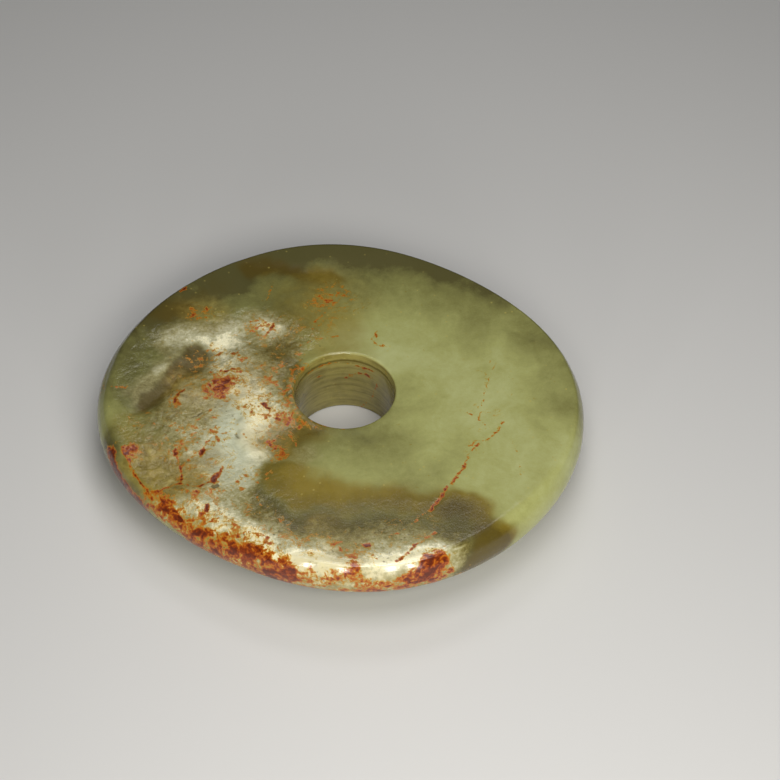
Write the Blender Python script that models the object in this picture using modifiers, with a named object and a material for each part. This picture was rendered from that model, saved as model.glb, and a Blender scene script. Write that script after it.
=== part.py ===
# A jade bi: a thick nephrite disc with one drilled hole, worked from a pebble.
# Its top was sawn flat and polished, its underside keeps the pebble's bulge, and its outline was
# rounded by eye, so the section and the plan both vary a little all the way round.
# Metres, +Z up. The origin is under the middle of the plan, at the height of the resting face.

import math

import bpy

MM = 0.001
DEGREE = math.pi / 180

# Plan, measured from the axis of the hole
MEAN_RADIUS = 56.8 * MM
HOLE_RADIUS = 12.3 * MM
OFF_CENTRE = 2.3 * MM  # how far the outline's middle lies from the hole
OFF_CENTRE_TURN = -111 * DEGREE
OVAL = 2.9 * MM  # the long way runs this far beyond the mean radius
OVAL_TURN = -18 * DEGREE
THREE_LOBES = 0.45 * MM
THREE_LOBES_TURN = -46 * DEGREE
FOUR_LOBES = 0.85 * MM  # four soft corners with flatter stretches between them
FOUR_LOBES_TURN = 4.5 * DEGREE

# Heights above the resting face
THICKNESS = 19.4 * MM  # at the hole
RIM_FOOT = 11.8 * MM  # the arris where the rim turns under
DISHING = 0.7 * MM  # the top rises this much from the hole to the rim
TILT = 0.45 * MM  # and this much more at its highest side
TILT_TURN = -45 * DEGREE

# Rim and edges
RIDGE_ROUND = 1.2 * MM  # the worn edge between the top and the rim
RIM_TOP_LEAN = 40 * DEGREE  # the rim's face looks this far up under the ridge
RIM_FOOT_LEAN = 25 * DEGREE  # and this far down at the arris
ARRIS_SLOPE = 50 * DEGREE  # the underside's slope just inside the arris
BELLY_ROUND = 9 * MM
MOUTH_ROUND = 0.5 * MM
REST_RADIUS = 22 * MM  # the flat ring round the hole that the disc rests on

# Bore
BORE_WAIST = 0.25 * MM  # narrower half way down, where the drilling met
BORE_FLARE = 0.3 * MM  # wider in the last few millimetres at the top
FLARE_DEPTH = 2.4 * MM

# Stretches where the top edge is worn down: turn, reach round the rim, width inwards, fall
WORN_EDGES = (
    {"turn": -131 * DEGREE, "reach": 19 * DEGREE, "width": 8 * MM, "fall": 2.2 * MM},
    {"turn": -33 * DEGREE, "reach": 20 * DEGREE, "width": 5 * MM, "fall": 0.8 * MM},
    {"turn": 176 * DEGREE, "reach": 22 * DEGREE, "width": 5 * MM, "fall": 0.7 * MM},
)

# Hollows weathered into the top, placed and sized as shares of the mean radius
HOLLOWS = (
    {"at": (-0.60, 0.29), "length": 0.23, "width": 0.065, "turn": 5 * DEGREE, "depth": 0.016},
    {"at": (-0.72, 0.06), "length": 0.20, "width": 0.060, "turn": 50 * DEGREE, "depth": 0.014},
    {"at": (-0.39, -0.36), "length": 0.28, "width": 0.130, "turn": 66 * DEGREE, "depth": 0.015},
    {"at": (-0.76, -0.46), "length": 0.16, "width": 0.090, "turn": -50 * DEGREE, "depth": 0.014},
    {"at": (0.10, 0.72), "length": 0.30, "width": 0.120, "turn": -10 * DEGREE, "depth": 0.006},
)

# Facets
TURNS = 96
TOP_RINGS = 13
BAND_RINGS = 6
DOME_RINGS = 7
BORE_RINGS = 5

STONE = (0.40, 0.40, 0.21, 1.0)


def arc(steps, start, end):
    """Angles from start to end, both included."""
    return [start + (end - start) * i / steps for i in range(steps + 1)]


def rim_points():
    """The worn ridge, then the rim's convex band down to the arris."""
    up, down = RIM_TOP_LEAN, RIM_FOOT_LEAN
    height = THICKNESS - RIM_FOOT - RIDGE_ROUND * (1 - math.sin(up))
    radius = height / (math.sin(up) + math.sin(down))
    middle = (MEAN_RADIUS - radius, RIM_FOOT + radius * math.sin(down))
    inner = radius - RIDGE_ROUND
    ridge_middle = (middle[0] + inner * math.cos(up), middle[1] + inner * math.sin(up))
    ridge = [
        (ridge_middle[0] + RIDGE_ROUND * math.cos(a), ridge_middle[1] + RIDGE_ROUND * math.sin(a))
        for a in arc(3, math.pi / 2, up)
    ]
    band = [
        (middle[0] + radius * math.cos(a), middle[1] + radius * math.sin(a))
        for a in arc(BAND_RINGS, up, -down)
    ]
    return ridge + band[1:]


def underside_points(arris):
    """From the arris round the belly and over the dome to the resting ring, without the arris itself."""
    belly = ARRIS_SLOPE / 2
    for _ in range(30):  # the slope at which the belly's arc and the dome's arc meet
        inwards = BELLY_ROUND * (math.sin(ARRIS_SLOPE) - math.sin(belly))
        lower = BELLY_ROUND * (math.cos(belly) - math.cos(ARRIS_SLOPE))
        run = arris[0] - inwards - REST_RADIUS
        belly = min(2 * math.atan2(arris[1] - lower, run), ARRIS_SLOPE)
    points = [
        (
            arris[0] - BELLY_ROUND * (math.sin(ARRIS_SLOPE) - math.sin(a)),
            arris[1] - BELLY_ROUND * (math.cos(a) - math.cos(ARRIS_SLOPE)),
        )
        for a in arc(3, ARRIS_SLOPE, belly)[1:]
    ]
    dome = run / math.sin(belly)
    for a in arc(DOME_RINGS, belly, 0)[1:]:
        points.append((REST_RADIUS + dome * math.sin(a), dome * (1 - math.cos(a))))
    points[-1] = (REST_RADIUS, 0)
    return points


def bore_radius(height):
    """The bore narrows to its waist half way up and flares a little under the upper mouth."""
    waist = BORE_WAIST * math.sin(math.pi * height / THICKNESS)
    flare = BORE_FLARE * max(0, 1 - (THICKNESS - height) / FLARE_DEPTH)
    return HOLE_RADIUS - waist + flare


def bore_points():
    """The lower mouth's edge, the wall and the upper mouth's edge, from the bottom up."""
    low, high = MOUTH_ROUND, THICKNESS - MOUTH_ROUND
    edge = MOUTH_ROUND * (1 - math.sin(45 * DEGREE))
    points = [
        (bore_radius(low) + MOUTH_ROUND, 0),
        (bore_radius(low) + edge, edge),
        (bore_radius(low), low),
    ]
    foot_of_flare = THICKNESS - FLARE_DEPTH
    for height in arc(BORE_RINGS - 1, low, foot_of_flare)[1:] + [high]:
        points.append((bore_radius(height), height))
    points.append((bore_radius(high) + edge, THICKNESS - edge))
    points.append((bore_radius(high) + MOUTH_ROUND, THICKNESS))
    return points


def section_points():
    """The whole section as one loop of (radius, height), outwards along the top and back underneath."""
    rim = rim_points()
    under = underside_points(rim[-1])
    bore = bore_points()
    top = [(r, THICKNESS) for r in arc(TOP_RINGS, bore[-1][0], rim[0][0])[1:-1]]
    rest = [(r, 0) for r in arc(3, REST_RADIUS, bore[0][0])[1:-1]]
    return top + rim + under + rest + bore


def outline_radius(angle):
    """Distance from the hole's axis to the outline in this direction."""
    return (
        MEAN_RADIUS
        + OFF_CENTRE * math.cos(angle - OFF_CENTRE_TURN)
        + OVAL * math.cos(2 * (angle - OVAL_TURN))
        + THREE_LOBES * math.cos(3 * (angle - THREE_LOBES_TURN))
        + FOUR_LOBES * math.cos(4 * (angle - FOUR_LOBES_TURN))
    )


def smooth(share):
    share = min(max(share, 0), 1)
    return share * share * (3 - 2 * share)


def turn_between(a, b):
    return abs((a - b + math.pi) % (2 * math.pi) - math.pi)


def worn_fall(angle, inset):
    """How far the edge is worn down here, for a point this far inside the outline."""
    fall = 0
    for edge in WORN_EDGES:
        along = math.exp(-((turn_between(angle, edge["turn"]) / edge["reach"]) ** 2))
        fall += edge["fall"] * along * smooth(1 - inset / edge["width"]) ** 1.3
    return fall


def hollow_depth(x, y):
    """Depth of the weathered hollows at a point of the top."""
    depth = 0
    for hollow in HOLLOWS:
        dx = x / MEAN_RADIUS - hollow["at"][0]
        dy = y / MEAN_RADIUS - hollow["at"][1]
        along = dx * math.cos(hollow["turn"]) + dy * math.sin(hollow["turn"])
        across = dy * math.cos(hollow["turn"]) - dx * math.sin(hollow["turn"])
        oval = (along / hollow["length"]) ** 2 + (across / hollow["width"]) ** 2
        depth += MEAN_RADIUS * hollow["depth"] * math.exp(-oval)
    return depth


def weathered(point):
    """Moves a point of the turned disc to its place on the real, uneven one."""
    radius = math.hypot(point.x, point.y)
    angle = math.atan2(point.y, point.x)
    out = min(max((radius - HOLE_RADIUS) / (MEAN_RADIUS - HOLE_RADIUS), 0), 1)
    edge = outline_radius(angle)
    radius += out * (edge - MEAN_RADIUS)
    x, y = radius * math.cos(angle), radius * math.sin(angle)
    rise = DISHING * out**2 + TILT * out * math.cos(angle - TILT_TURN)
    rise -= worn_fall(angle, max(edge - radius, 0)) + hollow_depth(x, y)
    up = smooth((point.z - RIM_FOOT) / (THICKNESS - RIM_FOOT))
    return x, y, point.z + up * rise


def plan_middle(vertices):
    """Middle of the plan's bounding box."""
    xs = [v.co.x for v in vertices]
    ys = [v.co.y for v in vertices]
    return (min(xs) + max(xs)) / 2, (min(ys) + max(ys)) / 2


def turned_mesh(points):
    """The section turned about Z into a closed ring."""
    profile = bpy.data.meshes.new("section")
    edges = [(i, (i + 1) % len(points)) for i in range(len(points))]
    profile.from_pydata([(r, 0, z) for r, z in points], edges, [])
    turned = bpy.data.objects.new("section", profile)
    bpy.context.scene.collection.objects.link(turned)
    screw = turned.modifiers.new("Turn", "SCREW")
    screw.axis = "Z"
    screw.angle = 2 * math.pi
    screw.steps = screw.render_steps = TURNS
    screw.use_merge_vertices = True
    screw.merge_threshold = 0.00001
    bpy.context.view_layer.update()
    graph = bpy.context.evaluated_depsgraph_get()
    mesh = bpy.data.meshes.new_from_object(turned.evaluated_get(graph))
    bpy.data.objects.remove(turned)
    bpy.data.meshes.remove(profile)
    return mesh


def jade_material():
    material = bpy.data.materials.new("Jade")
    material.use_nodes = True
    shader = material.node_tree.nodes["Principled BSDF"]
    shader.inputs["Base Color"].default_value = STONE
    shader.inputs["Roughness"].default_value = 0.25
    shader.inputs["Metallic"].default_value = 0.0
    material.diffuse_color = STONE
    return material


def make_disc(collection):
    mesh = turned_mesh(section_points())
    mesh.name = "disc"
    for vertex in mesh.vertices:
        vertex.co = weathered(vertex.co)
    middle = plan_middle(mesh.vertices)
    for vertex in mesh.vertices:
        vertex.co.x -= middle[0]
        vertex.co.y -= middle[1]
    mesh.materials.append(jade_material())
    mesh.shade_smooth()
    mesh.set_sharp_from_angle(angle=30 * DEGREE)
    disc = bpy.data.objects.new("disc", mesh)
    collection.objects.link(disc)
    print(f"hole axis at x {-middle[0] / MM:.2f}, y {-middle[1] / MM:.2f} mm from the origin")
    return disc


def main():
    for obj in list(bpy.data.objects):
        bpy.data.objects.remove(obj)
    collection = bpy.data.collections.new("jade_bi_disc")
    bpy.context.scene.collection.children.link(collection)
    make_disc(collection)


main()
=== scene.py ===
# Jade bi: a thick, slightly out-of-round nephrite disc with one drilled hole, lying face up.
# The stone is a clouded green, altered to a speckled grey-white at the front and the left,
# with a russet skin along its rim and rust in its veins.

import math

import bpy
import numpy as np
from mathutils import Matrix, Vector, noise
from mathutils.bvhtree import BVHTree


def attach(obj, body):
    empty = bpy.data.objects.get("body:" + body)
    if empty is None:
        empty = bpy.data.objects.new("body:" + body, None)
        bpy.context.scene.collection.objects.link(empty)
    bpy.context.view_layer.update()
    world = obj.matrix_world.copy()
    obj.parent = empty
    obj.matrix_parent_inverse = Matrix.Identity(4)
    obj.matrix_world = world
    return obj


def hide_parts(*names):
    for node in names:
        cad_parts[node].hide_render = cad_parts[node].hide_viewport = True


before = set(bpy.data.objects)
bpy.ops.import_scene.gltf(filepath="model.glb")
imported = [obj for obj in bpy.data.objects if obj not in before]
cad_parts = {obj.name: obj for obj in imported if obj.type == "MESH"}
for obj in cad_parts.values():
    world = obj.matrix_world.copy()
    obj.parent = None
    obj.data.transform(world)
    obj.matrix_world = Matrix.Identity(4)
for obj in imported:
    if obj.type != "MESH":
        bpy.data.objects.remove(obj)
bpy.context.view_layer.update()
print("frame loaded")

mm = 0.001


# Camera. Places in the photograph are pixels of its 780 x 780 frame, y down.
shot = {
    "size": 780,
    "place": (3.80, -366.59, 419.83),  # mm
    "pitch": 47.38,  # degrees down
    "yaw": 1.31,
    "roll": 1.03,
    "focal": 2212.2,  # pixels
    "sensor": 36.0,
}


def cameraAxes():
    pitch = math.radians(shot["pitch"])
    yaw = math.radians(shot["yaw"])
    roll = math.radians(shot["roll"])
    forward = Vector((math.sin(yaw) * math.cos(pitch), math.cos(yaw) * math.cos(pitch), -math.sin(pitch)))
    level = forward.cross(Vector((0, 0, 1))).normalized()
    upright = level.cross(forward)
    right = level * math.cos(roll) + upright * math.sin(roll)
    up = upright * math.cos(roll) - level * math.sin(roll)
    return right, up, forward


def makeCamera():
    right, up, forward = cameraAxes()
    data = bpy.data.cameras.new("camera")
    data.sensor_width = shot["sensor"]
    data.lens = shot["focal"] * shot["sensor"] / shot["size"]
    data.clip_start = 0.01
    data.clip_end = 50
    camera = bpy.data.objects.new("camera", data)
    turn = Matrix((right, up, -forward)).transposed().to_4x4()
    camera.matrix_world = Matrix.Translation(Vector(shot["place"]) * mm) @ turn
    bpy.context.scene.collection.objects.link(camera)
    bpy.context.scene.camera = camera


makeCamera()
print("camera set")


# The disc's form, in mm and degrees, measured from the axis of the hole and up from the resting face
form = {
    "axis": (1.06, 1.85),  # the hole's place in the frame
    "meanRadius": 56.8,
    "holeRadius": 12.3,
    "lobes": ((1, 2.3, -111), (2, 2.9, -18), (3, 0.45, -46), (4, 0.85, 4.5)),  # order, size, turn
    "inset": 0.06,  # keeps the finer outline inside the plain solid's
    "thickness": 19.4,
    "rimFoot": 11.8,
    "dishing": 0.7,
    "tilt": 0.45,
    "tiltTurn": -45,
    "ridgeRound": 1.0,
    "softRidges": ((-48, 24, 1.9), (178, 40, 0.9), (-128, 22, 1.2), (60, 60, 0.5)),  # turn, reach, more
    "rimTopLean": 40,
    "rimFootLean": 25,
    "arrisSlope": 50,
    "bellyRound": 9,
    "mouthRound": 0.5,
    "restRadius": 22,
    "boreWaist": 0.25,
    "boreFlare": 0.3,
    "flareDepth": 2.4,
}

wornEdges = (
    {"turn": -131, "reach": 19, "width": 8, "fall": 2.2},
    {"turn": -33, "reach": 20, "width": 5, "fall": 0.8},
    {"turn": 176, "reach": 22, "width": 5, "fall": 0.7},
)

# Places and sizes are shares of the mean radius
hollows = (
    {"at": (-0.60, 0.29), "length": 0.23, "width": 0.065, "turn": 5, "depth": 0.016},
    {"at": (-0.72, 0.06), "length": 0.20, "width": 0.060, "turn": 50, "depth": 0.014},
    {"at": (-0.39, -0.36), "length": 0.28, "width": 0.130, "turn": 66, "depth": 0.015},
    {"at": (-0.76, -0.46), "length": 0.16, "width": 0.090, "turn": -50, "depth": 0.014},
    {"at": (0.10, 0.72), "length": 0.30, "width": 0.120, "turn": -10, "depth": 0.006},
)

grid = {
    "turns": 560,
    "crowding": 0.35,  # the turns stand closer together towards this side
    "crowdedSide": -150,
    "top": 98,
    "ridge": 9,
    "band": 16,
    "belly": 6,
    "dome": 12,
    "rest": 5,
    "bore": 16,
}


def arc(steps, start, end):
    return [start + (end - start) * i / steps for i in range(steps + 1)]


def smooth(share):
    share = np.clip(share, 0, 1)
    return share * share * (3 - 2 * share)


def turnBetween(a, b):
    return np.abs((a - b + math.pi) % (2 * math.pi) - math.pi)


def bump(angle, turn, reach):
    return np.exp(-((turnBetween(angle, math.radians(turn)) / math.radians(reach)) ** 2))


def outlineRadius(angle):
    radius = form["meanRadius"] - form["inset"]
    for order, size, turn in form["lobes"]:
        radius = radius + size * np.cos(order * (angle - math.radians(turn)))
    return radius


def boreRadius(height):
    waist = form["boreWaist"] * math.sin(math.pi * height / form["thickness"])
    flare = form["boreFlare"] * max(0, 1 - (form["thickness"] - height) / form["flareDepth"])
    return form["holeRadius"] - waist + flare


def rimRings(ridge):
    up = math.radians(form["rimTopLean"])
    down = math.radians(form["rimFootLean"])
    height = form["thickness"] - form["rimFoot"] - ridge * (1 - math.sin(up))
    radius = height / (math.sin(up) + math.sin(down))
    middle = form["meanRadius"] - radius, form["rimFoot"] + radius * math.sin(down)
    inner = radius - ridge
    edge = middle[0] + inner * math.cos(up), middle[1] + inner * math.sin(up)
    rings = [
        (edge[0] + ridge * math.cos(a), edge[1] + ridge * math.sin(a))
        for a in arc(grid["ridge"], math.pi / 2, up)
    ]
    band = arc(grid["band"], up, -down)[1:]
    band[-1:] = [band[-1] + 0.02, band[-1]]  # a close pair keeps the arris crisp
    return rings + [(middle[0] + radius * math.cos(a), middle[1] + radius * math.sin(a)) for a in band]


def undersideRings(arris):
    steep = math.radians(form["arrisSlope"])
    curve = form["bellyRound"]
    belly = steep / 2 + 0 * arris[0]
    for _ in range(30):  # the slope at which the belly's arc and the dome's arc meet
        inwards = curve * (math.sin(steep) - np.sin(belly))
        lower = curve * (np.cos(belly) - math.cos(steep))
        run = arris[0] - inwards - form["restRadius"]
        belly = np.minimum(2 * np.arctan2(arris[1] - lower, run), steep)
    rings = []
    for share in [0.04] + arc(grid["belly"], 0, 1)[1:]:  # again a close pair at the arris
        a = steep + (belly - steep) * share
        rings.append((
            arris[0] - curve * (math.sin(steep) - np.sin(a)),
            arris[1] - curve * (np.cos(a) - math.cos(steep)),
        ))
    dome = run / np.sin(belly)
    for share in arc(grid["dome"], 1, 0)[1:]:
        a = belly * share
        rings.append((form["restRadius"] + dome * np.sin(a), dome * (1 - np.cos(a))))
    return rings


def boreRings():
    corner = form["mouthRound"]
    low, high = corner, form["thickness"] - corner
    rings = [
        (boreRadius(low) + corner * (1 - math.cos(a)), corner * (1 - math.sin(a)))
        for a in arc(4, math.pi / 2, 0)
    ]
    rings += [(boreRadius(h), h) for h in arc(grid["bore"], low, high)[1:]]
    rings += [
        (boreRadius(high) + corner * (1 - math.cos(a)), high + corner * math.sin(a))
        for a in arc(5, 0, math.pi / 2)[1:]
    ]
    return rings


def sectionRings(angles):
    ridge = form["ridgeRound"] + 0 * angles
    for turn, reach, more in form["softRidges"]:
        ridge = ridge + more * bump(angles, turn, reach)
    rim = rimRings(ridge)
    under = undersideRings(rim[-1])
    bore = boreRings()
    inner, outer = bore[-1][0], rim[0][0]
    top = [(inner + (outer - inner) * s, form["thickness"]) for s in arc(grid["top"], 0, 1)[1:-1]]
    rest = [(r, 0) for r in arc(grid["rest"], form["restRadius"], bore[0][0])[1:-1]]
    rings = top + rim + under + rest + bore
    radii = np.array([r + 0 * angles for r, z in rings])
    heights = np.array([z + 0 * angles for r, z in rings])
    return radii, heights


def wornFall(angle, inset):
    fall = 0
    for edge in wornEdges:
        along = bump(angle, edge["turn"], edge["reach"])
        fall = fall + edge["fall"] * along * smooth(1 - inset / edge["width"]) ** 1.3
    return fall


def hollowDepth(x, y):
    depth = 0
    for hollow in hollows:
        turn = math.radians(hollow["turn"])
        dx = x / form["meanRadius"] - hollow["at"][0]
        dy = y / form["meanRadius"] - hollow["at"][1]
        along = dx * math.cos(turn) + dy * math.sin(turn)
        across = dy * math.cos(turn) - dx * math.sin(turn)
        oval = (along / hollow["length"]) ** 2 + (across / hollow["width"]) ** 2
        depth = depth + form["meanRadius"] * hollow["depth"] * np.exp(-oval)
    return depth


def discPoints():
    # A grid of points, ring by turn, in mm
    steps = np.arange(grid["turns"]) / grid["turns"] * 2 * math.pi
    angles = steps + grid["crowding"] * np.sin(steps - math.radians(grid["crowdedSide"]) - math.pi)
    radii, heights = sectionRings(angles)
    hole, mean = form["holeRadius"], form["meanRadius"]
    out = np.clip((radii - hole) / (mean - hole), 0, 1)
    edge = outlineRadius(angles)
    radii = radii + out * (edge - mean)
    x, y = radii * np.cos(angles), radii * np.sin(angles)
    rise = form["dishing"] * out**2
    rise = rise + form["tilt"] * out * np.cos(angles - math.radians(form["tiltTurn"]))
    rise = rise - wornFall(angles, np.maximum(edge - radii, 0)) - hollowDepth(x, y)
    up = smooth((heights - form["rimFoot"]) / (form["thickness"] - form["rimFoot"]))
    return np.stack([x + form["axis"][0], y + form["axis"][1], heights + up * rise], axis=-1)


def gridNormals(points):
    alongRing = np.roll(points, -1, axis=1) - np.roll(points, 1, axis=1)
    acrossRings = np.roll(points, -1, axis=0) - np.roll(points, 1, axis=0)
    normals = np.cross(acrossRings, alongRing)
    return normals / np.linalg.norm(normals, axis=-1, keepdims=True)


def gridFaces(rings, turns):
    ring, turn = np.meshgrid(np.arange(rings), np.arange(turns), indexing="ij")
    nextRing, nextTurn = (ring + 1) % rings, (turn + 1) % turns
    here, nextHere = ring * turns, nextRing * turns
    corners = [here + turn, nextHere + turn, nextHere + nextTurn, here + nextTurn]
    return np.stack(corners, axis=-1).reshape(-1, 4)


points = discPoints()
faces = gridFaces(*points.shape[:2])
print("disc laid out:", points.shape[0], "rings of", points.shape[1])


# Places in the photograph, carried on to the stone
class Sight:
    def __init__(self, flat, faces):
        self.eye = Vector(shot["place"])
        self.right, self.up, self.forward = cameraAxes()
        self.tree = BVHTree.FromPolygons(flat.tolist(), faces.tolist())
        self.flat = flat
        away = flat - np.array(self.eye)
        deep = away @ np.array(self.forward)
        half = shot["size"] / 2
        self.px = half + shot["focal"] * (away @ np.array(self.right)) / deep
        self.py = half - shot["focal"] * (away @ np.array(self.up)) / deep
        self.high = flat[:, 2] > form["rimFoot"]

    def ray(self, x, y):
        half = shot["size"] / 2
        across = (x - half) / shot["focal"]
        down = (y - half) / shot["focal"]
        return (self.forward + self.right * across - self.up * down).normalized()

    def onStone(self, x, y):
        place = self.tree.ray_cast(self.eye, self.ray(x, y))[0]
        if place is not None:
            return np.array(place)
        off = np.where(self.high, np.hypot(self.px - x, self.py - y), np.inf)
        return self.flat[np.argmin(off)]  # beside the outline, the nearest place on the edge


flat = points.reshape(-1, 3)
fromAxis = np.hypot(flat[:, 0] - form["axis"][0], flat[:, 1] - form["axis"][1])
sight = Sight(flat, faces)


wanderShifts = (0.0, 19.7, 43.1)  # one for each of x, y and z


def wandering(amount, size):
    # The disc's points, each moved a little by smooth noise, so that what is measured from them wanders
    moved = [
        [noise.noise((x / size + shift, y / size, z / size)) for shift in wanderShifts]
        for x, y, z in flat.tolist()
    ]
    return flat + amount * np.array(moved)


wideWander = wandering(3.0, 9.0) + wandering(0.9, 2.5) - flat
fineWander = wandering(0.40, 1.8) + wandering(0.25, 0.8) - flat


def distanceTo(line, places):
    # From every place to a run of photograph places, in mm
    stops = [sight.onStone(x, y) for x, y in line]
    nearest = np.linalg.norm(places - stops[0], axis=1)
    for start, end in zip(stops, stops[1:]):
        run = end - start
        share = np.clip((places - start) @ run / (run @ run + 1e-9), 0, 1)
        nearest = np.minimum(nearest, np.linalg.norm(places - start - share[:, None] * run, axis=1))
    return nearest


def painted(strokes, places=wideWander, join="over", straight=False):
    # The strokes' amounts at every point, falling off round each line smoothly or straight. A stroke is
    # a line of photograph places, its half width and the softness of its edge in mm, and its amount.
    field = np.zeros(len(flat))
    for line, half, soft, amount in strokes.values():
        gap = np.maximum(distanceTo(line, places) - half, 0) / soft
        near = np.clip(1 - gap, 0, 1) if straight else np.exp(-(gap**2))
        touch = amount * near
        if join == "sum":
            field = field + touch
        elif join == "most":
            field = np.maximum(field, touch)
        else:
            field = 1 - (1 - field) * (1 - touch)
    return field


# Lighter and darker clouds in the green stone, with painted shade among them: darker towards the back, in
# the trough and beside the hole's mouth
clouds = {
    "rightField": ([(450, 390), (520, 410), (540, 470)], 8, 14, 0.24),
    "centre": ([(380, 345), (420, 360), (440, 400)], 4, 12, 0.18),
    "nearHole": ([(365, 427), (402, 425), (418, 402)], 3, 6, -0.24),
    # painted shade, darker towards the back
    "backMiddle": ([(320, 300), (360, 300), (410, 285)], 4, 8, -0.15),
    "rightDark": ([(545, 340), (568, 375), (576, 415)], 2, 6, -0.26),
    "backRight": ([(500, 310), (550, 360)], 2, 8, -0.06),
    # these two paint shade along the back edge, together with the stone's own darker tone
    "backArc": ([(215, 285), (270, 262), (330, 262)], 1, 9, -0.22),
    "backEdge": ([(225, 268), (270, 250), (330, 243), (400, 246), (440, 252)], 1, 7, -0.48),
    "leftField": ([(155, 320), (130, 350), (122, 375)], 3, 8, -0.3),
    "backLeft": ([(170, 305), (220, 285), (250, 300)], 3, 8, -0.18),
    "frontBand": ([(456, 508), (480, 522), (488, 544), (470, 562)], 1.4, 3.6, -0.34),
    # painted shade along the back edge at the right
    "backEdgeRight": ([(455, 258), (490, 270), (512, 290)], 1, 4, -0.3),
    # painted shadow in the trough
    "trough": ([(150, 400), (172, 383), (188, 366), (200, 354)], 1.2, 2.8, -0.5),
    "oliveBand": ([(363, 502), (400, 502), (432, 509), (462, 515)], 1.2, 4.4, -0.16),
    # painted shade beside the hole's mouth
    "besideMouthShade": ([(290, 440), (305, 430), (320, 422)], 2, 3, -0.12),
    "rimLeft": ([(108, 440), (112, 458), (126, 487), (146, 510)], 0.8, 2, -0.45),
    "rightLow": ([(562, 468), (548, 490)], 2, 5, 0.1),
    "rimEnd": ([(502, 540), (492, 552), (480, 562)], 1.5, 3, -0.35),
    "bandLight": ([(300, 474), (325, 480), (345, 482)], 1.5, 4, 0.1),
    "rimRightDark": ([(462, 566), (480, 560), (492, 552)], 1, 2.4, -0.3),
    "behindHole": ([(335, 338), (365, 346)], 2, 5, 0.14),
    "rightEdge": ([(572, 425), (566, 455)], 1, 4, 0.12),
}

# Olive-brown bands and smudges, and painted shade in the trough, beside the hole's mouth and on the slope
# left of the front band
olives = {
    "frontBand": ([(292, 480), (312, 491), (340, 497), (363, 499), (400, 499), (432, 507)], 1, 4.8, 0.88),
    "frontBandRight": ([(432, 500), (456, 502), (480, 512), (488, 526)], 1, 3, 0.95),
    "rimBand": ([(503, 536), (494, 548), (484, 557), (476, 564)], 2.2, 2.2, 1),
    "ridgeEnd": ([(480, 530), (490, 526)], 1, 2.5, 0.7),
    "leftSpots": ([(165, 312), (180, 308)], 1, 2.5, 0.7),
    "leftMiddle": ([(125, 425), (150, 440)], 2, 4, 0.5),
    "leftEdge": ([(135, 325), (160, 300)], 0.5, 2.5, 0.4),
    "backSmudge": ([(252, 268), (290, 271), (330, 280)], 0.6, 3, 0.95),
    "backLeft": ([(160, 312), (185, 300), (215, 288)], 0.5, 4, 0.35),
    "yellowCloud": ([(300, 300), (318, 318), (335, 335)], 4, 6, 0.5),
    # painted shadow in the trough, olive-brown
    "trough": ([(146, 404), (172, 384), (188, 367), (200, 354)], 1, 2.4, 0.95),
    # painted shade beside the hole's mouth
    "besideMouthShade": ([(285, 445), (300, 432), (312, 426)], 1.8, 4.2, 0.85),
    "scoop": ([(140, 462), (150, 480)], 1.5, 3, 0.55),
    # painted shade on the slope left of the front band
    "inner": ([(276, 474), (284, 486), (294, 498)], 1.2, 4, 0.75),
}

# Where the stone has turned grey-white
altered = {
    "front": ([(278, 530), (330, 534), (400, 532), (440, 526)], 7.5, 3.5, 1),
    "frontRight": ([(436, 520), (460, 522), (472, 536)], 4.5, 3, 1),
    "frontLeft": ([(205, 495), (240, 505), (275, 525)], 7, 5, 1),
    "left": ([(185, 440), (215, 440), (250, 440)], 7, 6, 0.9),
    "innerLeft": ([(245, 385), (270, 400), (265, 440)], 8, 5, 1),
    "farLeft": ([(180, 342), (220, 338), (262, 330), (278, 355)], 3, 4, 0.85),
    "cluster": ([(190, 395), (225, 375), (255, 365)], 5, 6, 0.8),
    # grey-white here carries the painted sheen of the palest strokes
    "sheenLow": ([(140, 396), (158, 374), (180, 368)], 1, 3, 0.75),
    "rim": ([(330, 580), (400, 582), (448, 564)], 5, 3, 1),
    "rimLeft": ([(200, 540), (260, 568), (310, 580)], 4, 3, 0.9),
    "rimRight": ([(444, 567), (460, 558), (471, 551)], 1.6, 1.6, 1),
}

frontRidge = [
    (258, 547), (280, 554), (308, 560), (340, 563), (372, 564), (400, 562), (430, 556), (462, 544),
]
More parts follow.
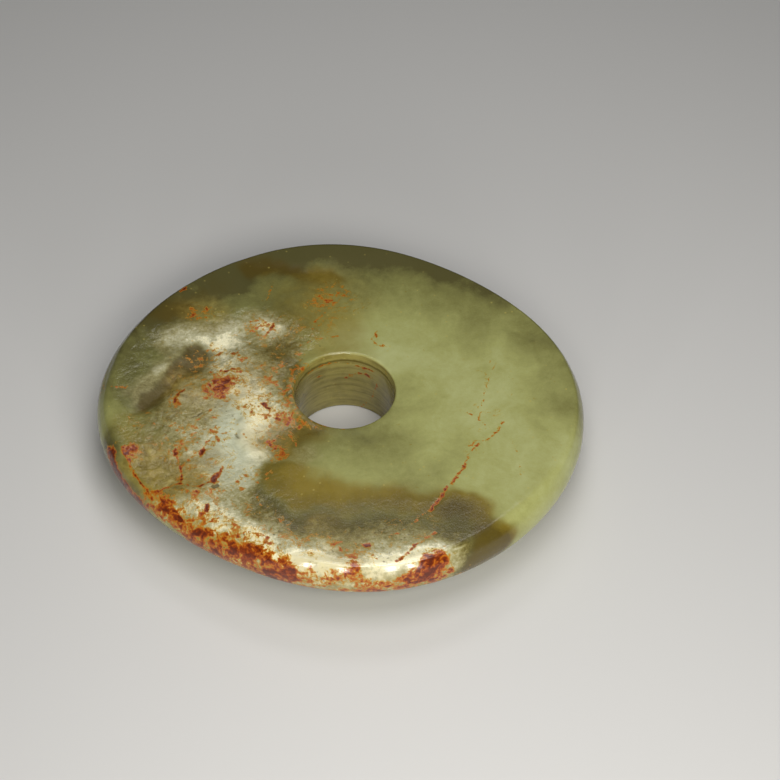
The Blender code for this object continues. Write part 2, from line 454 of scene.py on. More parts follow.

# Where the grey-white is palest, and where painted highlights lie: sheens on the left slopes and the
# bright line along the front ridge
whitesAndHighlights = {
    # painted highlight along the front ridge, together with the stone's whitening there
    "ridge": ([(250, 545), (300, 556), (340, 561), (400, 559), (436, 551)], 0.9, 2.6, 0.68),
    "ridgeWide": ([(285, 543), (330, 549), (370, 549), (420, 541)], 2.4, 4.2, 0.46),
    "creamPeak": ([(250, 402), (247, 425), (252, 448)], 1.2, 2.4, 0.9),
    "creamField": ([(255, 405), (272, 420), (268, 440), (250, 455)], 3.4, 4, 0.8),
    "cluster": ([(215, 352), (235, 362), (252, 385)], 3, 5, 0.6),
    "pale": ([(215, 450), (228, 470), (222, 500)], 3, 5, 0.28),
    "leftRidge": ([(160, 503), (185, 509), (210, 517), (245, 532)], 1.6, 2.4, 0.52),
    "rimStrip": ([(143, 504), (165, 522), (197, 542)], 0.3, 0.9, 0.5),
    "rimCream": ([(228, 561), (244, 566)], 0.8, 1.4, 0.5),
    "rimCentre": ([(300, 574), (330, 580), (350, 588)], 1.5, 2.5, 0.34),
    "rimFoot": ([(300, 586), (320, 589)], 0.6, 1.4, 0.35),
    "rimMiddle": ([(378, 585), (400, 587), (440, 578)], 1.2, 2, 0.42),
    # painted sheen highlights on the slopes at the left
    "sheenBack": ([(170, 338), (190, 343), (210, 344), (232, 336)], 1, 2, 0.27),
    "sheenLow": ([(205, 350), (235, 345), (250, 338)], 1.5, 3, 0.15),
    "sheenUpper": ([(225, 322), (245, 320), (262, 326)], 0.8, 1.8, 0.25),
    "sheenPeak": ([(268, 328), (278, 333)], 0.8, 1.4, 0.65),
    "sheenLeft": ([(154, 374), (170, 368), (182, 365)], 0.4, 1.2, 0.45),
    "sheenLowest": ([(137, 400), (146, 393)], 0.4, 1.2, 0.42),
    "rimRight": ([(446, 565), (460, 556), (470, 550)], 1.2, 1.6, 0.22),
    # painted highlight along the front ridge
    "ridgeHighlight": (frontRidge, 0, 0.5, 0.70),
    "pocket": ([(176, 386), (190, 393)], 1.5, 3, 0.6),
    "leftMiddle": ([(165, 452), (190, 452), (210, 425)], 3, 5, 0.26),
    "creamFoot": ([(276, 456), (290, 464)], 2, 4, 0.15),
    # painted highlight along the front ridge
    "ridgeMiddleHighlight": ([(330, 556), (372, 558)], 1.5, 2.5, 0.35),
}

# Where it is darkest, partly painted shade: in the trough, beside the hole's mouth and on the slope left
# of the front band
greys = {
    "frontBand": ([(283, 503), (330, 513), (400, 513), (450, 513)], 1, 7.5, 0.34),
    # painted shadow in the trough
    "trough": ([(146, 404), (172, 382), (190, 362), (200, 353)], 1, 2.4, 0.45),
    "besideHole": ([(264, 350), (286, 372), (286, 395)], 2.5, 4, 0.35),
    "left": ([(150, 420), (180, 430)], 4, 5, 0.1),
    "rimRight": ([(445, 520), (470, 545)], 3, 4, 0.4),
    # painted shade on the slope left of the front band, and beside the hole's mouth
    "inner": ([(279, 482), (290, 493), (297, 508)], 2.6, 3.6, 0.62),
    "mouth": ([(295, 425), (308, 432)], 2, 3, 0.4),
    "frontSpots": ([(300, 540), (350, 548), (420, 536)], 1, 3, 0.12),
    "frontMiddle": ([(330, 518), (350, 522), (385, 522)], 2, 5.5, 0.34),
    "rimLeft": ([(108, 440), (112, 458), (126, 487), (146, 510), (165, 524)], 0.8, 2, 0.45),
    "rimRightFoot": ([(420, 588), (450, 577)], 1, 1.6, 0.4),
}

# Where the stone is yellower
honeys = {
    "scoop": ([(148, 462), (165, 472), (180, 478)], 4, 3.5, 0.85),
    "besideStem": ([(190, 462), (205, 460)], 2, 3, 0.55),
    "cluster": ([(200, 398), (225, 385), (248, 375)], 3, 5, 0.55),
    "pocket": ([(184, 382), (192, 391)], 1.5, 2.5, 0.9),
    "back": ([(305, 330), (322, 312), (338, 296)], 4, 6, 0.25),
    "creamFoot": ([(268, 438), (285, 425)], 2, 4, 0.55),
    "ring": ([(190, 310), (210, 312)], 2, 3, 0.6),
    "rim": ([(160, 508), (200, 535), (250, 560)], 2, 4, 0.3),
    "rimFront": ([(290, 570), (330, 578), (380, 582), (430, 575)], 2, 2, 0.55),
    "frontSpots": ([(336, 548), (350, 548)], 1, 3, 0.55),
    "ochreFront": ([(318, 522), (335, 518)], 0.5, 2.5, 0.45),
}

# Where the polish is highest
glosses = {
    "rimFront": ([(300, 562), (340, 571), (390, 573), (430, 567)], 2.5, 1.5, 1),
    "ridge": (
        [(255, 547), (308, 560), (340, 563), (400, 562), (430, 556), (470, 540), (500, 524)], 0.3, 1, 0.9
    ),
    "sheens": ([(165, 335), (200, 338), (245, 325)], 2, 3, 0.3),
    "sheenLow": ([(137, 400), (160, 372), (185, 362), (205, 350)], 1.5, 3, -2.4),
}

# Where the skin is unevenly worn
uneven = {
    "left": ([(150, 375), (185, 350), (230, 340), (275, 340)], 6, 5, 1),
    "middle": ([(190, 400), (230, 400), (270, 400)], 6, 6, 0.8),
    "leftLow": ([(135, 440), (190, 440), (230, 450)], 6, 6, 0.8),
    "frontLeft": ([(140, 470), (200, 490), (250, 510)], 5, 5, 0.6),
}

# Where it is bluish
blues = {
    "patch": ([(226, 412), (230, 436), (224, 455)], 2, 4, 0.85),
    "foot": ([(240, 462), (238, 472)], 2, 4, 0.5),
}

# Rust in veins: the line of each, the half width of its darkest part, and its strength, which falls off
# straight, so that the shader can cut it thin and ragged
veins = {
    "stem": ([(180, 481), (181, 473), (180, 467), (177, 457), (174, 448)], 0, 0.99),
    "stemRing": ([(174, 448), (177, 443), (183, 443), (186, 449)], 0, 0.86),
    "stemBranch": ([(180, 467), (184, 462), (189, 458)], 0, 0.92),
    "teardrop": ([(201, 452), (204, 447)], 0.35, 0.95),
    "teardropTail": ([(204, 446), (207, 441), (213, 435)], 0, 0.86),
    "scoopEdge": ([(155, 495), (163, 487), (172, 484), (180, 482), (188, 485), (197, 487)], 0, 0.89),
    "scoopEdgeRight": ([(197, 487), (205, 483), (213, 481), (218, 474), (223, 466)], 0, 0.96),
    "blob": ([(213, 481), (217, 474)], 0.4, 0.95),
    "doubleInner": ([(129, 457), (131, 468), (136, 478), (143, 488), (152, 497)], 0, 0.96),
    "doubleOuter": ([(127, 457), (129, 466), (133, 476)], 0, 0.84),
    "diamond": ([(208, 504), (206, 510)], 0.25, 0.93),
    "faintFront": ([(256, 495), (261, 504), (260, 515), (262, 524), (258, 533)], 0, 0.80),
    "leftLine": ([(101, 387), (112, 386), (126, 386)], 0, 0.88),
    "upperLine": ([(274, 280), (270, 291), (266, 301)], 0, 0.84),
    "slash": ([(265, 333), (270, 328), (274, 322)], 0, 0.96),
    "crackTop": ([(503, 421), (498, 430), (490, 438), (483, 441)], 0, 0.84),
    "crackMiddle": ([(478, 444), (470, 452), (465, 462)], 0, 0.90),
    "crackSide": ([(483, 441), (476, 440), (470, 446)], 0, 0.84),
    "faintRight": ([(491, 360), (486, 372), (484, 390)], 0, 0.74),
    "boreArc": ([(309, 373), (322, 366), (342, 363), (362, 367), (380, 376)], 0, 0.95),
    "boreCurve": ([(346, 378), (355, 374), (364, 373), (371, 378)], 0.1, 0.95),
    "boreCrack": ([(377, 384), (372, 397), (362, 407)], 0, 0.86),
    "boreLeft": ([(303, 384), (312, 378), (324, 376)], 0, 0.88),
    "crackLow": ([(466, 463), (459, 473), (452, 483)], 0, 0.97),
    "crackLower": ([(447, 487), (443, 494), (437, 502), (431, 510)], 0.1, 0.98),
    "crackFoot": ([(428, 511), (420, 516), (412, 523)], 0, 0.86),
    "frontVein": ([(434, 532), (424, 540), (413, 546), (408, 553), (397, 561)], 0, 0.98),
    "frontVeinUp": ([(404, 529), (395, 534), (385, 541)], 0, 0.86),
    "spotRight": ([(365, 545), (368, 546)], 0.2, 0.96),
    "spotLeft": ([(339, 548), (343, 550)], 0.1, 0.89),
    "spotBelow": ([(268, 537), (263, 545)], 0.1, 0.94),
    "ringSpot": ([(375, 333), (376, 337)], 0.1, 0.84),
    "ringFoot": ([(379, 346), (385, 345)], 0, 0.84),
    "mouthSpot": ([(383, 370), (386, 373)], 0.1, 0.86),
    "outlineSpot": ([(181, 290), (185, 288)], 0.3, 0.99),
    "smallRed": ([(263, 403), (268, 407)], 0.25, 0.93),
    "smallRedTail": ([(259, 405), (252, 409), (249, 414)], 0, 0.89),
    "lowRed": ([(276, 418), (281, 419)], 0.2, 0.93),
    "mouthRed": ([(284, 406), (288, 411), (294, 416)], 0, 0.90),
    "creamAmber": ([(244, 433), (247, 437)], 0.1, 0.81),
    "creamDash": ([(258, 436), (263, 438)], 0, 0.79),
    "footRed": ([(270, 445), (275, 447)], 0.2, 0.89),
    "footRing": ([(268, 454), (273, 460)], 0, 0.84),
    "clusterCore": ([(213, 388), (220, 386), (225, 383)], 0.4, 0.90),
    "clusterTail": ([(225, 381), (229, 378), (234, 380)], 0.1, 0.89),
    "clusterTop": ([(222, 370), (228, 370)], 0.2, 0.90),
    "leftHook": ([(175, 405), (175, 398), (179, 392), (184, 389)], 0.05, 0.93),
    "redSpots": ([(193, 491), (199, 492)], 0.2, 0.90),
    "rimLeft": ([(113, 460), (120, 475), (131, 490), (142, 502)], 0.3, 0.92),
    "rimStep": ([(160, 505), (172, 514), (181, 521)], 0.5, 0.92),
    "rimRidge": ([(184, 519), (200, 526), (214, 530)], 0.1, 0.84),
    "crackUpper": ([(497, 361), (491, 372), (486, 390), (481, 408), (478, 420)], 0, 0.79),
    "crackFan": ([(474, 404), (483, 411), (496, 416)], 0, 0.82),
    "crackFanLow": ([(468, 412), (479, 418), (486, 428)], 0, 0.81),
    "backStreaks": ([(314, 322), (326, 311), (341, 298)], 0, 0.84),
    "backStreaksLow": ([(308, 330), (318, 326), (327, 318)], 0, 0.82),
    "backStreaksHigh": ([(318, 306), (331, 301), (345, 290)], 0, 0.83),
    "aboveMouth": ([(300, 345), (316, 338), (338, 336)], 0, 0.82),
    "ring": ([(377, 331), (372, 338), (377, 345), (386, 347)], 0, 0.81),
    "rightLow": ([(516, 448), (519, 462), (521, 474)], 0, 0.80),
    "leftPit": ([(196, 419), (205, 414), (212, 408)], 0, 0.84),
    "footStreak": ([(150, 420), (165, 426), (176, 422)], 0, 0.82),
    "creamRight": ([(284, 430), (292, 436), (296, 446)], 0, 0.82),
    "belowMouth": ([(318, 418), (330, 424), (345, 424)], 0, 0.81),
    "frontStreaks": ([(318, 530), (329, 536), (336, 545)], 0, 0.82),
    "frontStreaksRight": ([(352, 541), (360, 546), (372, 541)], 0, 0.82),
    "frontStreaksLeft": ([(286, 528), (296, 535), (300, 548)], 0, 0.81),
}
veinReach = 1.6  # mm
veinStrokes = {name: (line, half, veinReach, amount) for name, (line, half, amount) in veins.items()}

# Rust in clusters and skin, broken up by the stone's grain
stains = {
    "mainCluster": ([(212, 389), (226, 384)], 1, 2.8, 1.1),
    "mainClusterUpper": ([(216, 372), (234, 369)], 0.8, 2, 0.9),
    "mainClusterTail": ([(224, 394), (234, 392)], 1, 1.6, 0.85),
    "clusterSpread": ([(205, 360), (225, 375), (240, 390)], 4, 4, 0.54),
    "topRing": ([(195, 312), (207, 313)], 1.2, 1.8, 0.9),
    "leftSmall": ([(176, 397), (174, 404)], 0.6, 1.2, 0.9),
    "creamSpread": ([(250, 405), (265, 400), (280, 410)], 2.5, 3.5, 0.6),
    "creamLow": ([(279, 418), (284, 421)], 0.8, 1.6, 0.98),
    "besideHole": ([(286, 362), (290, 388)], 2.5, 3.5, 0.64),
    "belowHole": ([(284, 402), (300, 420)], 1.5, 2.8, 0.82),
    "aboveCluster": ([(240, 360), (270, 372)], 3, 4, 0.56),
    "creamFoot": ([(271, 444), (279, 452)], 1.2, 2, 0.82),
    "leftDark": ([(126, 449), (131, 447)], 0.9, 1.5, 1.2),
    "leftDarkHalo": ([(118, 452), (136, 452)], 1, 2.4, 0.7),
    "leftTint": ([(103, 375), (102, 390)], 0.4, 1.2, 0.85),
    "slashTint": ([(252, 327), (272, 330)], 1.4, 2, 0.74),
    "yellowCloud": ([(325, 300), (334, 293)], 1.8, 3, 0.66),
    "scoopSpread": ([(180, 440), (200, 440), (215, 430)], 3, 4, 0.58),
    "stemSpread": ([(176, 444), (186, 444)], 0.8, 1.6, 0.66),
    "frontLeftSpread": ([(190, 492), (240, 480), (260, 475)], 1.5, 3, 0.6),
    "rimLeft": ([(110, 455), (114, 468), (124, 486), (140, 503)], 1, 1.6, 1.55),
    "rimLeftFoot": ([(114, 478), (128, 497), (143, 509)], 1.2, 1.5, 1.5),
    "rimMiddle": ([(150, 500), (165, 510), (182, 522), (196, 533)], 1.4, 2.2, 1.15),
    "rimFront": ([(193, 538), (215, 548), (240, 558), (262, 567), (285, 575)], 2.4, 2.2, 1.26),
    "rimCore": ([(232, 549), (250, 552), (262, 558)], 1.4, 1.6, 1.35),
    "rimTop": ([(205, 522), (225, 532), (250, 545), (275, 556)], 1.8, 2.6, 0.8),
    "rimCentre": ([(292, 576), (330, 582)], 1.5, 2.5, 0.95),
    "rimPatch": ([(350, 572), (360, 581), (371, 586)], 1.4, 1.8, 1.1),
    "rimFoot": ([(340, 590), (380, 591), (410, 589)], 0.5, 1.2, 1),
    "rimMauve": ([(395, 585), (422, 580), (445, 574)], 1.4, 1.8, 1.05),
    "rimRight": ([(416, 577), (429, 570), (437, 562)], 1.7, 1.8, 1.5),
    "rimRightFoot": ([(450, 578), (470, 566)], 0.6, 1.4, 0.78),
    "frontSpots": ([(335, 548), (350, 551)], 1.4, 1.8, 0.74),
    "frontSpread": ([(290, 545), (380, 552)], 2, 3, 0.44),
    "rimFrontEnd": ([(258, 570), (285, 579)], 1.6, 1.6, 1.4),
    "rimEdgeLine": ([(300, 586), (340, 592), (375, 593), (415, 588)], 0.2, 0.8, 1.1),
    "rimGlintMauve": ([(300, 573), (330, 577)], 0.6, 1.4, 0.85),
}

# Where thin threads of rust run through the grain
threaded = {
    "left": ([(150, 430), (185, 445), (205, 465)], 6, 4, 0.78),
    "frontLeft": ([(190, 500), (235, 520), (270, 540)], 5, 4, 0.92),
    "middle": ([(205, 375), (250, 395), (285, 415)], 5, 4, 0.85),
    "back": ([(255, 330), (300, 330), (335, 305)], 4, 5, 0.8),
    "front": ([(290, 535), (350, 542), (420, 530)], 3, 4, 0.75),
    "creamFoot": ([(270, 440), (290, 430), (330, 425)], 2, 3, 0.8),
    "right": ([(470, 405), (490, 415), (470, 450)], 1, 3, 0.6),
}

# Brown and grey specks
specks = {
    "front": ([(270, 535), (330, 540), (400, 540), (450, 530)], 8, 5, 0.8),
    "besideHole": ([(285, 350), (290, 400)], 5, 5, 1),
    "inner": ([(240, 370), (265, 360), (275, 390)], 5, 5, 0.7),
    "left": ([(160, 435), (190, 430), (215, 420)], 6, 5, 0.8),
    "frontLeft": ([(235, 490), (250, 520)], 6, 5, 0.5),
}

# Hairlines and pits
cracks = {
    "hairRight": ([(512, 449), (515, 462), (518, 474)], 0, 0.3, 0.5),
    "leftPit": ([(190, 417), (197, 415), (203, 411)], 0, 0.35, 0.8),
    "triangle": ([(213, 486), (218, 485)], 0.3, 0.4, 1),
    "creamPit": ([(236, 433), (239, 438)], 0.2, 0.4, 0.6),
    "ridgeDark": ([(183, 306), (180, 302)], 0, 0.5, 0.5),
}


def boreShare():
    # 1 on the wall of the hole, fading out over its mouth
    wall = 1 - smooth((fromAxis - form["holeRadius"] - 0.3) / 0.4)
    return wall * smooth((form["thickness"] - flat[:, 2]) / 0.6)


fields = {
    "clouds": painted(clouds, join="sum"),
    "olive": painted(olives),
    "altered": painted(altered),
    "white": painted(whitesAndHighlights) - painted(greys),
    "blue": painted(blues),
    "honey": painted(honeys),
    "gloss": painted(glosses),
    "uneven": painted(uneven),
    "bore": boreShare(),
    "vein": painted(veinStrokes, fineWander, "most", True),
    "stain": painted(stains, fineWander, "most"),
    "speck": painted(specks),
    "threads": painted(threaded),
    "crack": painted(cracks, fineWander, "most"),
}
print("veins, stains and clouds placed:", len(fields), "fields")


# Fine relief, cut inwards from the plain form, in mm
relief = {
    "polishWave": (0.06, 9.0),  # depth and size
    "rimWave": (0.10, 6.0),
    "lumps": (0.50, 8.0),
    "smallLumps": (0.12, 2.6),
    "ripples": (0.20, 5.0, 1.7),  # depth, length and width
    "rippleTurn": 38,
    "crackDepth": 0.10,
    "grooveDepth": 0.12,
    "grooveWidth": 0.35,
    "grooveBelowMouth": 2.4,
    # where each kind begins or ends, and over what run it fades
    "topHeight": (17.5, 1.0),
    "topFromAxis": (13.5, 2.0),
    "rimFromAxis": (46.0, 6.0),
    "rimFoot": (10.5, 2.0),
    "rimHead": (20.5, 2.0),
    "boreFromAxis": 12.7,
    "boreEnds": (0.6, 1.0),
}

# Dents and, with a minus, swellings: the amount is their depth in mm
dents = {
    "trough": ([(142, 408), (160, 393), (178, 378), (194, 363)], 0.2, 2.4, 0.34),
    "troughEnd": ([(194, 364), (208, 354), (232, 348)], 0.2, 2.4, 0.5),
    "upperTrough": ([(238, 334), (262, 338), (280, 346)], 0.2, 2.2, 0.35),
    "upperSwell": ([(165, 325), (200, 318), (235, 308), (270, 310)], 0.5, 3, -0.1),
    "leftSwell": ([(140, 385), (165, 362), (180, 352)], 0.3, 2.4, -0.25),
    "middleSwell": ([(190, 395), (215, 380), (240, 372)], 1, 3.5, -0.2),
    "creamRidge": ([(247, 402), (246, 425), (251, 449)], 0.2, 2.2, -0.4),
    "creamCrease": ([(236, 418), (238, 437), (243, 450)], 0, 1.4, 0.3),
    "creamFoot": ([(262, 462), (285, 448), (300, 425)], 0.4, 3.5, 0.45),
    "scoop": ([(148, 468), (165, 476), (178, 474)], 2, 4.5, 0.45),
    "scoopLip": ([(152, 497), (170, 492), (190, 490), (210, 487)], 0.3, 2.2, -0.3),
    "stemPit": ([(183, 455), (196, 452)], 0.3, 1.8, 0.25),
    "teardropPit": ([(203, 450), (210, 438)], 0.1, 1.4, 0.2),
    "leftLow": ([(150, 430), (165, 440)], 1, 4, 0.3),
    "frontDip": ([(290, 500), (340, 515), (400, 512)], 1, 6, 0.08),
    "backDip": ([(255, 272), (300, 275), (335, 282)], 0.5, 4, 0.3),
}

rimSwells = {
    "front": ([(322, 574), (341, 577), (366, 579), (391, 580), (410, 580), (428, 575)], 0.2, 1.5, -0.08),
}

# Where the stone is lumpy
lumpy = {
    "left": ([(150, 375), (185, 350), (230, 340), (265, 345)], 7, 7, 1),
    "middle": ([(200, 400), (240, 380), (270, 390)], 5, 6, 0.6),
    "leftLow": ([(150, 430), (190, 430), (230, 425)], 7, 6, 0.8),
    "frontLeft": ([(190, 495), (240, 520)], 5, 5, 0.5),
}

# Where it is finely rippled, as if fibrous
rippled = {
    "sheens": ([(160, 335), (200, 338), (245, 325), (275, 330)], 3, 3, 1),
    "sheenLow": ([(135, 402), (160, 374), (190, 360)], 2, 3, 0.8),
    "frontLeft": ([(150, 470), (175, 478)], 3, 3, 0.5),
}


def noiseAt(places, size, shift=0.0):
    # Between 0 and 1
    values = [noise.noise((x / size + shift, y / size, z / size)) for x, y, z in places.tolist()]
    return np.array(values) * 0.5 + 0.5


def turnedPlaces(along, across):
    turn = math.radians(relief["rippleTurn"])
    x = (flat[:, 0] * math.cos(turn) + flat[:, 1] * math.sin(turn)) / along
    y = (flat[:, 1] * math.cos(turn) - flat[:, 0] * math.sin(turn)) / across
    return np.stack([x, y, flat[:, 2] / along], axis=-1)


def wave(name, shift=0.0):
    depth, size = relief[name]
    return depth * noiseAt(flat, size, shift)


def ripples():
    depth, along, across = relief["ripples"]
    return depth * noiseAt(turnedPlaces(along, across), 1.0, 5.0)


def fadeIn(distance, span):
    start, run = span
    return smooth((distance - start) / run)


def reliefDepth():
    tall = flat[:, 2]
    down = form["thickness"] - tall
    rimHead, rimFade = relief["rimHead"]
    top = fadeIn(tall, relief["topHeight"]) * fadeIn(fromAxis, relief["topFromAxis"])
    rim = fadeIn(fromAxis, relief["rimFromAxis"]) * fadeIn(tall, relief["rimFoot"])
    rim = rim * smooth((rimHead - tall) / rimFade)
    bore = fadeIn(tall, relief["boreEnds"]) * fadeIn(down, relief["boreEnds"])
    bore = bore * (fromAxis < relief["boreFromAxis"])
    rough = painted(lumpy) * top
    opened = np.maximum(fields["crack"], 0.8 * smooth(fields["vein"] * 3 - 2))
    groove = np.exp(-(((down - relief["grooveBelowMouth"]) / relief["grooveWidth"]) ** 2))

    depth = wave("polishWave") * top + wave("rimWave", 7.0) * rim
    depth = depth + painted(dents, join="sum") * top
    depth = depth + wave("lumps", 3.0) * rough + wave("smallLumps", 11.0) * rough
    depth = depth + ripples() * painted(rippled) * top
    depth = depth + relief["crackDepth"] * opened * top
    depth = depth + painted(rimSwells, join="sum") * rim
    return depth - relief["grooveDepth"] * groove * bore


def makeDisc():
    normals = gridNormals(points).reshape(-1, 3)
    final = flat - normals * reliefDepth()[:, None]
    mesh = bpy.data.meshes.new("jadeDisc")
    mesh.from_pydata((final * mm).tolist(), [], faces.tolist())
    mesh.shade_smooth()
    for name, values in fields.items():
        layer = mesh.attributes.new(name, "FLOAT", "POINT")
        layer.data.foreach_set("value", values.astype(np.float32))
    disc = bpy.data.objects.new("jadeDisc", mesh)
    bpy.context.scene.collection.objects.link(disc)
    return disc


disc = makeDisc()
print("disc made:", len(disc.data.polygons), "faces")


# Shaders
class Wire:  # one socket of a shader; arithmetic on it adds Math nodes
    def __init__(self, shader, socket):
        self.shader = shader
        self.socket = socket

    def maths(self, operation, first, second=0.0):
        return self.shader.node("ShaderNodeMath", {"operation": operation}, {0: first, 1: second})

    def __add__(self, other):
        return self.maths("ADD", self, other)

    def __radd__(self, other):
        return self.maths("ADD", other, self)

    def __sub__(self, other):
        return self.maths("SUBTRACT", self, other)

    def __rsub__(self, other):
        return self.maths("SUBTRACT", other, self)

    def __mul__(self, other):
        return self.maths("MULTIPLY", self, other)

    def __rmul__(self, other):
        return self.maths("MULTIPLY", other, self)

    def absolute(self):
        return self.maths("ABSOLUTE", self)

    def swing(self, amount):  # about nothing, for a noise that lies round a half
        return (self - 0.5) * amount

    def most(self, other):
        return self.maths("MAXIMUM", self, other)

    def between(self, low, high):  # 0 at low, 1 at high, smooth between
        return self.shader.node("ShaderNodeMapRange", {"interpolation_type": "SMOOTHSTEP"},
            {"Value": self, "From Min": low, "From Max": high})


class Shader:
    def __init__(self, name):
        self.material = bpy.data.materials.new(name)
        self.material.use_nodes = True
        self.tree = self.material.node_tree
        self.tree.nodes.clear()

    def node(self, kind, settings=None, sockets=None, output=0):
        made = self.tree.nodes.new(kind)
        for name, value in (settings or {}).items():
            if name == "stops":
                self.setStops(made.color_ramp, value)
            else:
                setattr(made, name, value)
        for name, value in (sockets or {}).items():
            if isinstance(value, Wire):
                self.tree.links.new(value.socket, made.inputs[name])
            else:
                made.inputs[name].default_value = value
        return Wire(self, made.outputs[output]) if made.outputs else None

    def setStops(self, ramp, stops):
        while len(ramp.elements) < len(stops):
            ramp.elements.new(0.5)
        for element, (place, name) in zip(ramp.elements, stops.items()):
            element.position = place
            element.color = tint(name)

    def field(self, name):
        return self.node("ShaderNodeAttribute", {"attribute_name": name}, output="Fac")

    def places(self):  # the surface's own places, in mm
        own = self.node("ShaderNodeTexCoord", output="Object")
        return self.node("ShaderNodeVectorMath", {"operation": "SCALE"}, {0: own, "Scale": 1 / mm})

    def shifted(self, where, by):
        return self.node("ShaderNodeVectorMath", {"operation": "ADD"}, {0: where, 1: by})

    def stretched(self, where, by):
        return self.node("ShaderNodeVectorMath", {"operation": "MULTIPLY"}, {0: where, 1: by})

    def turned(self, where, angle):
        settings = {"rotation_type": "Z_AXIS"}
        return self.node("ShaderNodeVectorRotate", settings, {"Vector": where, "Angle": angle})

    def cloud(self, where, size, detail=3, rough=0.5, bend=0.0):
        return self.node("ShaderNodeTexNoise", None, {"Vector": where, "Scale": 1 / size, "Detail": detail,
            "Roughness": rough, "Distortion": bend})

    def dots(self, where, size):  # 0 at the middle of each dot
        return self.node("ShaderNodeTexVoronoi", {"feature": "F1"}, {"Vector": where, "Scale": 1 / size})

    def mix(self, share, first, second, blend="MIX"):
        settings = {"data_type": "RGBA", "blend_type": blend}
        return self.node("ShaderNodeMix", settings, {0: share, 6: first, 7: second}, output=2)

    def ramp(self, value, stops):
        return self.node("ShaderNodeValToRGB", {"stops": stops}, {"Fac": value})

    def finish(self, sockets):
        surface = self.node("ShaderNodeBsdfPrincipled", None, sockets)
        self.node("ShaderNodeOutputMaterial", None, {"Surface": surface})
        return self.material


jadeColours = {
    "deep": (0.092, 0.082, 0.025),
    "middle": (0.212, 0.207, 0.064),
    "light": (0.342, 0.346, 0.120),
    "pale": (0.430, 0.445, 0.195),
    "oliveDark": (0.088, 0.061, 0.008),
    "olive": (0.225, 0.164, 0.020),
    "greyDark": (0.088, 0.072, 0.016),
    "greyBrown": (0.156, 0.128, 0.036),
    "grey": (0.285, 0.254, 0.104),
    "greyWhite": (0.458, 0.432, 0.262),
    # also the colour of the painted sheens and ridge highlight
    "white": (0.800, 0.745, 0.490),
    "blueWhite": (0.490, 0.510, 0.355),
    "speck": (0.100, 0.078, 0.026),
    "halo": (0.950, 0.720, 0.300),
    "ochre": (0.440, 0.300, 0.060),
    "amber": (0.375, 0.150, 0.010),
    "orange": (0.385, 0.103, 0.006),
    "red": (0.225, 0.034, 0.002),
    "dark": (0.100, 0.014, 0.002),
    "honeyDark": (0.165, 0.108, 0.016),
    "honey": (0.430, 0.320, 0.075),
    "boreDark": (0.170, 0.130, 0.028),
    "bore": (0.320, 0.270, 0.070),
    "gold": (0.450, 0.370, 0.090),
}


def tint(name):
    return (*jadeColours[name], 1)


jadeLooks = {
    "Specular IOR Level": 0.4,
    "IOR": 1.62,
    "Subsurface Weight": 0.08,
    "Subsurface Radius": (1.0, 0.9, 0.5),
    "Subsurface Scale": 0.003,
}


# The stone's noises, coarse to fine: sizes in mm
jadeNoises = {
    "broad": {"size": 24, "rough": 0.55, "bend": 0.6},
    "middle": {"size": 8, "detail": 4, "rough": 0.6, "bend": 0.8},
    "threads": {"size": 4.5, "detail": 5, "rough": 0.62, "bend": 1.2},
    "patches": {"size": 3.4, "rough": 0.6, "bend": 0.5},
    "mottle": {"size": 3.2, "detail": 5, "rough": 0.65, "bend": 0.4},
    "fine": {"size": 1.6, "detail": 4, "rough": 0.6},
    "streak": {"size": 1.6, "detail": 5, "rough": 0.65},
    "lace": {"size": 1.4, "detail": 5, "rough": 0.62, "bend": 0.5},
    "rings": {"size": 1.0, "detail": 4, "rough": 0.65},
    "speckle": {"size": 0.9, "rough": 0.7},
    "spots": {"size": 0.8, "rough": 0.6},
    "grain": {"size": 0.45, "detail": 2, "rough": 0.6},
}

# Where they are moved, so that no two of them run alike, and how they are drawn out
noiseShifts = {
    "middle": (31, 7, 3),
    "threads": (7, 7, 7),
    "patches": (3, 17, 5),
    "mottle": (9, 4, 2),
    "speckle": (1, 6, 12),
    "spots": (13, 2, 8),
}
noiseStretches = {"streak": (0.35, 1.6, 1.0), "rings": (0.08, 0.08, 1.0)}
noiseTurns = {"streak": 0.6}


def jadeNoise(shader, where, name):
    if name in noiseTurns:
        where = shader.turned(where, noiseTurns[name])
    if name in noiseStretches:
        where = shader.stretched(where, noiseStretches[name])
    if name in noiseShifts:
        where = shader.shifted(where, noiseShifts[name])
    return shader.cloud(where, **jadeNoises[name])


def greenStone(shader, noises, oliveShare):
    # Clouded green, and brown where the olive bands are; both also carry painted shade at the back, in the
    # trough and beside the hole's mouth
    tone = (0.48 + shader.field("clouds") + noises["broad"].swing(0.7) + noises["middle"].swing(0.5)
        + noises["fine"].swing(0.22) + noises["grain"].swing(0.15))
    green = shader.ramp(tone, {0.0: "deep", 0.35: "middle", 0.70: "light", 1.0: "pale"})
    brown = shader.ramp(tone, {0.1: "oliveDark", 0.6: "olive"})
    return shader.mix(oliveShare, green, brown)


def whiteStone(shader, noises, oliveShare):
    # The altered stone, speckled from grey to white; the white field also brings in the painted sheens and
    # the painted ridge highlight
    whiteness = (0.23 + shader.field("white") + noises["mottle"].swing(1.0) + noises["streak"].swing(0.25)
        + noises["speckle"].swing(1.0) - oliveShare * 0.35)
    greys = {0.0: "greyDark", 0.2: "greyBrown", 0.48: "grey", 0.76: "greyWhite", 1.0: "white"}
    bluish = shader.field("blue").between(0.1, 0.9) * whiteness.between(-0.2, 0.4) * 0.85
    return shader.mix(bluish, shader.ramp(whiteness * 0.8 + 0.2, greys), tint("blueWhite"))


